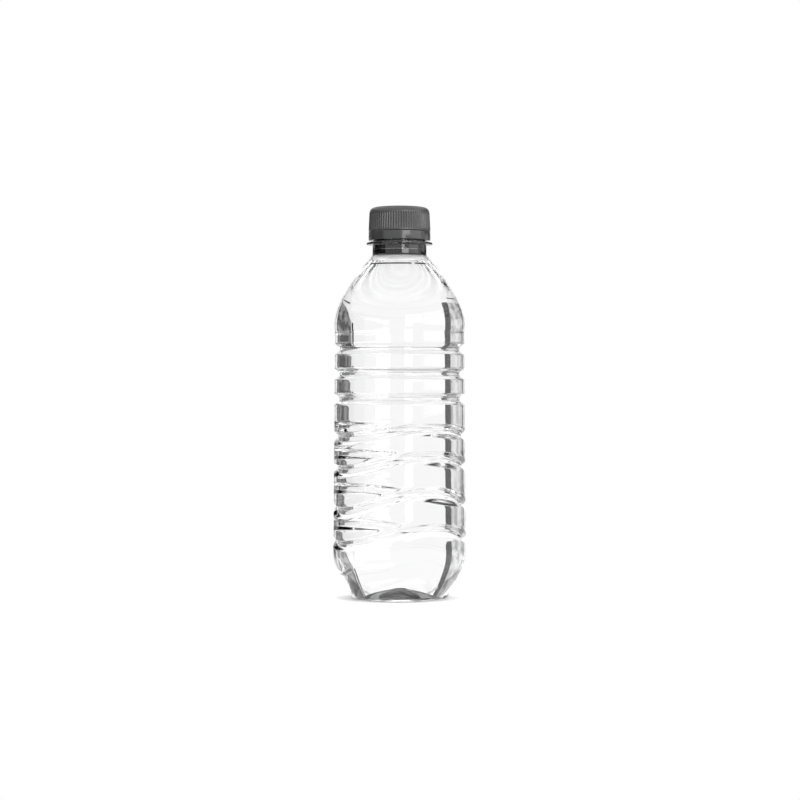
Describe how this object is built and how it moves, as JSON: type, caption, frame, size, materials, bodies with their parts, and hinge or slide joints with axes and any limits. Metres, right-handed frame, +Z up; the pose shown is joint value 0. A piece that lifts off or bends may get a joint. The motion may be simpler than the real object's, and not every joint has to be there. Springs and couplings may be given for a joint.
{
  "type": "water bottle",
  "caption": "Clear filled drinks bottle with straight and wavy grip grooves, a tapered shoulder, a narrow threaded neck and a ribbed dark screw cap over a tamper band.",
  "frame": {"origin": "middle of the ring that the bottle stands on", "axes": "+Z up along the bottle's axis, front towards -Y, +X to the right seen from the front"},
  "size_m": [0.0664, 0.066, 0.1949],
  "materials": {
    "clear_pet": "clear and glossy, thin blown wall",
    "water": "clear liquid",
    "band_plastic": "dark grey satin moulding",
    "liner_foam": "soft pale sealing disc",
    "cap_plastic": "dark grey satin moulding with fine ribs"
  },
  "bodies": {
    "bottle": {"bottle": "clear_pet", "water": "water", "tamper_band": "band_plastic"},
    "liner": {"cap_liner": "liner_foam"},
    "cap": {"screw_cap": "cap_plastic"}
  },
  "joints": [
    {"name": "cap_lift", "type": "slide", "parent": "bottle", "child": "liner", "axis": [0, 0, 1], "range_m": [0, 0.0109]},
    {"name": "cap_turn", "type": "hinge", "parent": "liner", "child": "cap", "pos_m": [0, 0, 0.188], "axis": [0, 0, 1], "range_deg": [0, 1440]}
  ],
  "couplings": [
    {"joint": "cap_lift", "follows": "cap_turn", "m_per_rad": 0.00042972}
  ]
}
